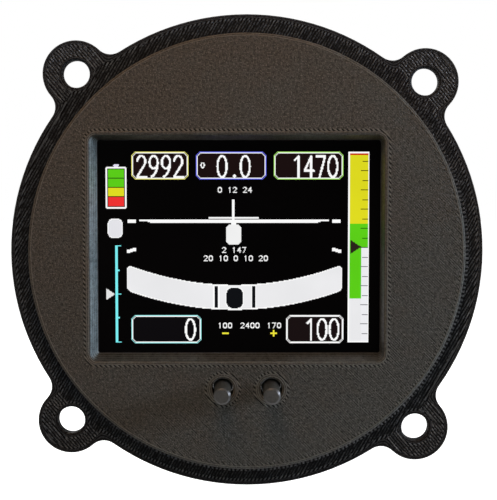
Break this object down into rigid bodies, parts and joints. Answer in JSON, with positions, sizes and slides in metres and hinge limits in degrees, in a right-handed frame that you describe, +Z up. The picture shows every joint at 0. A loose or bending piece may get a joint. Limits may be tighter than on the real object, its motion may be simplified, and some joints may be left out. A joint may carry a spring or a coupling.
{
  "type": "digital turn coordinator",
  "caption": "Round panel instrument with eared flange, recessed colour display, long push buttons, barbed air ports and a supply connector behind.",
  "frame": {"origin": "centre of the bolt circle, on the flange's front face, which meets the back of the panel", "axes": "-Y out of the display towards the viewer, +Z up, +X to the viewer's right"},
  "size_m": [0.0854, 0.0674, 0.0854],
  "materials": {
    "printed_plastic": "filament printed, satin",
    "button_plastic": "moulded, satin",
    "display_glass": "polished, opaque when lit from the front",
    "display_frame": "moulded",
    "soft_foam": "cellular",
    "ribbon_film": "polyimide film",
    "circuit_board": "solder mask",
    "component_plastic": "moulded",
    "screening_can": "tinned",
    "capacitor_can": "drawn",
    "brass": "machined",
    "nickel_plate": "plated",
    "screw_steel": "black oxide",
    "spring_steel": "rolled",
    "contact_gold": "gold flash",
    "silicone_hose": "extruded",
    "cable_sheath": "extruded",
    "battery_foil": "laminate pouch",
    "wire_sheath": "extruded",
    "foam_tape": "foam"
  },
  "bodies": {
    "housing": {"battery_lead": "wire_sheath", "battery_pack": "battery_foil", "battery_socket": "display_frame", "battery_tape": "foam_tape", "capacitors": "capacitor_can", "case_screws": "screw_steel", "connector_contacts": "contact_gold", "connector_insulator": "component_plastic", "connector_shell": "nickel_plate", "display_backlight": "display_frame", "display_gasket": "soft_foam", "display_glass": "display_glass", "display_ribbon": "ribbon_film", "foam_pad": "soft_foam", "front_bezel": "printed_plastic", "jack_nuts": "nickel_plate", "jack_posts": "nickel_plate", "left_switch_base": "component_plastic", "left_switch_cover": "spring_steel", "left_switch_dome": "spring_steel", "main_board": "circuit_board", "motion_sensor": "component_plastic", "pitot_fitting": "brass", "pitot_hose": "silicone_hose", "pitot_nut": "brass", "pitot_sensor": "component_plastic", "power_inductor": "component_plastic", "processor_module": "screening_can", "rear_case": "printed_plastic", "ribbon_socket": "component_plastic", "right_switch_base": "component_plastic", "right_switch_cover": "spring_steel", "right_switch_dome": "spring_steel", "static_fitting": "brass", "static_hose": "silicone_hose", "static_nut": "brass", "static_sensor": "component_plastic", "supply_ribbon": "cable_sheath", "supply_socket": "component_plastic", "threaded_inserts": "brass", "voltage_regulator": "component_plastic"},
    "left_button": {"left_button_stem": "button_plastic"},
    "right_button": {"right_button_stem": "button_plastic"}
  },
  "joints": [
    {"name": "left_button_press", "type": "slide", "parent": "housing", "child": "left_button", "axis": [0, 1, 0], "range_m": [0, 0.00025], "stiffness_N_per_m": 6300, "deforming": ["left_switch_dome"]},
    {"name": "right_button_press", "type": "slide", "parent": "housing", "child": "right_button", "axis": [0, 1, 0], "range_m": [0, 0.00025], "stiffness_N_per_m": 6300, "deforming": ["right_switch_dome"]}
  ]
}
